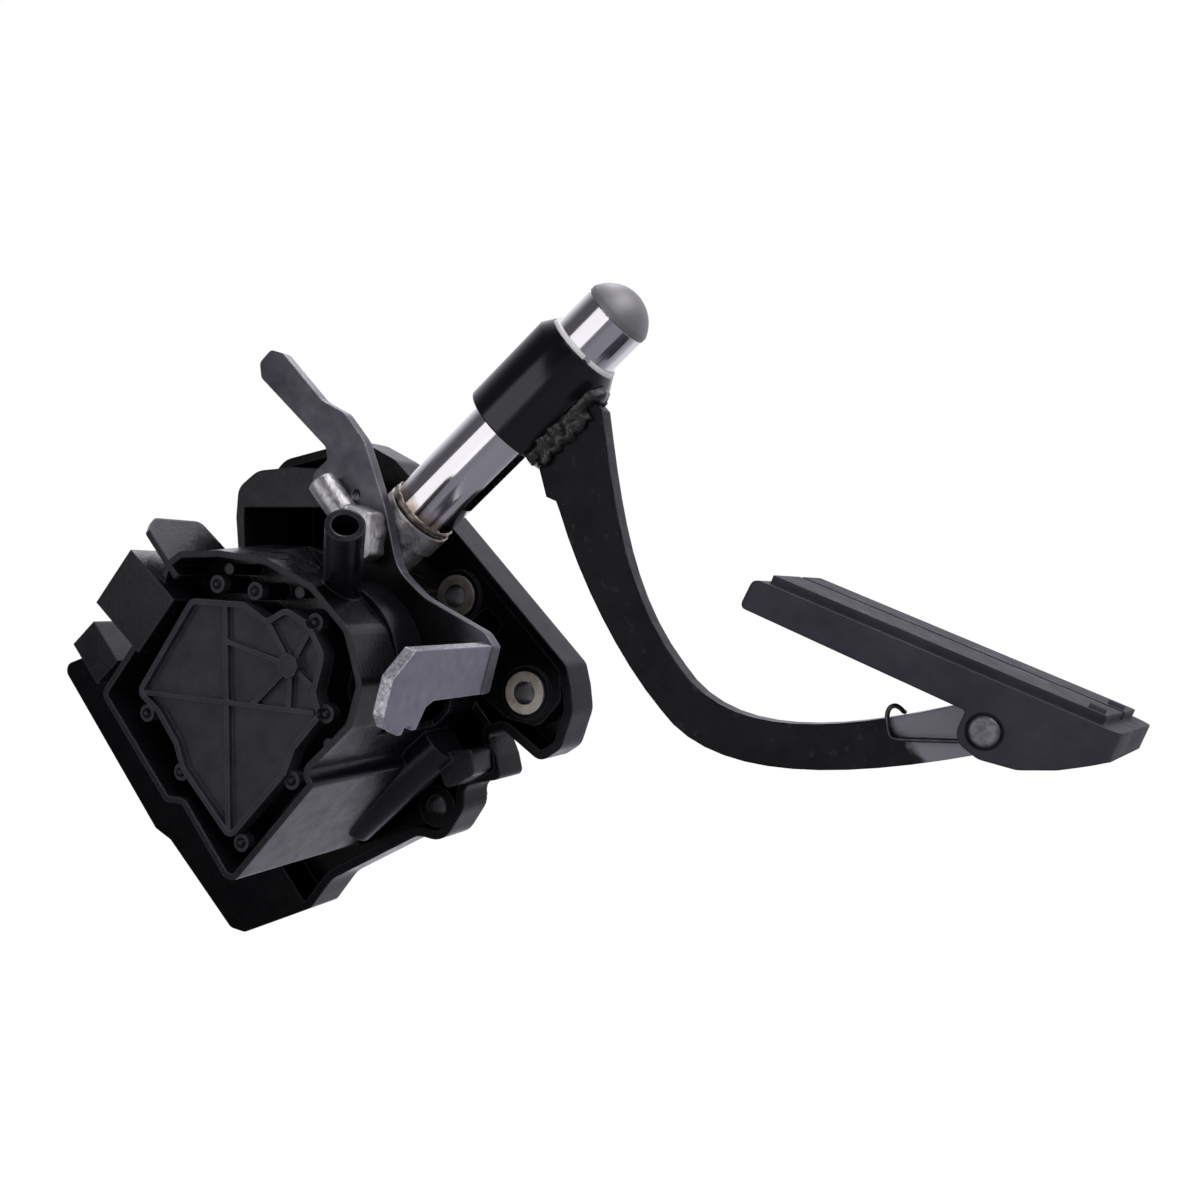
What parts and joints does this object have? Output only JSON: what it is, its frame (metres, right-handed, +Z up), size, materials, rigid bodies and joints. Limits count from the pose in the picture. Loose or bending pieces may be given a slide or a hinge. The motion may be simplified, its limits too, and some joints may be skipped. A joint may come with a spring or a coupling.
{
  "type": "accelerator pedal",
  "caption": "Drive-by-wire accelerator pedal with a sliding arm on a guide tube, a hinged foot pad and a moulded sensor housing with a flange.",
  "frame": {"origin": "midway between the two flange bolts, on the mounting face", "axes": "+X rearward along the guide tube toward the driver, +Y across the car toward the mounting face, +Z up"},
  "size_m": [0.2748, 0.0895, 0.2378],
  "materials": {
    "housing_plastic": "satin",
    "cover_plastic": "satin",
    "steel_bright": "satin",
    "steel_grey": "satin",
    "chrome": "polished",
    "zinc": "satin",
    "black_paint": "gloss",
    "nylon_white": "satin",
    "pad_plastic": "satin",
    "spring_steel": "satin",
    "board_green": "matte",
    "brass": "satin"
  },
  "bodies": {
    "housing_body": {"housing": "housing_plastic", "sensor_cover": "cover_plastic", "cover_stakes": "cover_plastic", "mount_sleeves": "steel_bright", "connector_terminals": "brass", "circuit_board": "board_green", "pivot_bushes": "brass", "return_spring": "spring_steel"},
    "lever": {"lever_plate": "steel_grey", "pivot_shaft": "steel_bright", "rotor_drum": "housing_plastic", "sensor_magnet": "spring_steel", "gear_housing": "zinc", "rod_weld": "steel_grey", "guide_rod": "chrome", "rod_plug": "steel_bright"},
    "screw": {"lead_screw": "steel_grey"},
    "carriage": {"arm_sleeve": "black_paint", "sleeve_bush_front": "nylon_white", "sleeve_bush_rear": "nylon_white", "drive_nut": "nylon_white", "pedal_arm": "black_paint", "arm_weld": "black_paint", "pad_pin": "steel_grey", "pad_spring": "spring_steel"},
    "pad_body": {"pad": "pad_plastic"}
  },
  "joints": [
    {"name": "pedal_swing", "type": "hinge", "parent": "housing_body", "child": "lever", "pos_m": [-0.0245, -0.03, 0.0145], "axis": [0, 1, 0], "range_deg": [0, 17], "stiffness_Nm_per_rad": 6, "springref_deg": -40.11},
    {"name": "adjust_slide", "type": "slide", "parent": "lever", "child": "carriage", "axis": [1, 0, 0], "range_m": [-0.0275, 0.006]},
    {"name": "screw_spin", "type": "hinge", "parent": "lever", "child": "screw", "pos_m": [0.0315, -0.03, 0.0395], "axis": [1, 0, 0], "range_deg": [-3400, 800]},
    {"name": "pad_tilt", "type": "hinge", "parent": "carriage", "child": "pad_body", "pos_m": [0.1051, -0.03, -0.1075], "axis": [0, 1, 0], "range_deg": [-6, 0], "stiffness_Nm_per_rad": 0.6, "springref_deg": 17.19}
  ],
  "couplings": [
    {"joint": "screw_spin", "follows": "adjust_slide", "rad_per_m": 2094.4}
  ]
}
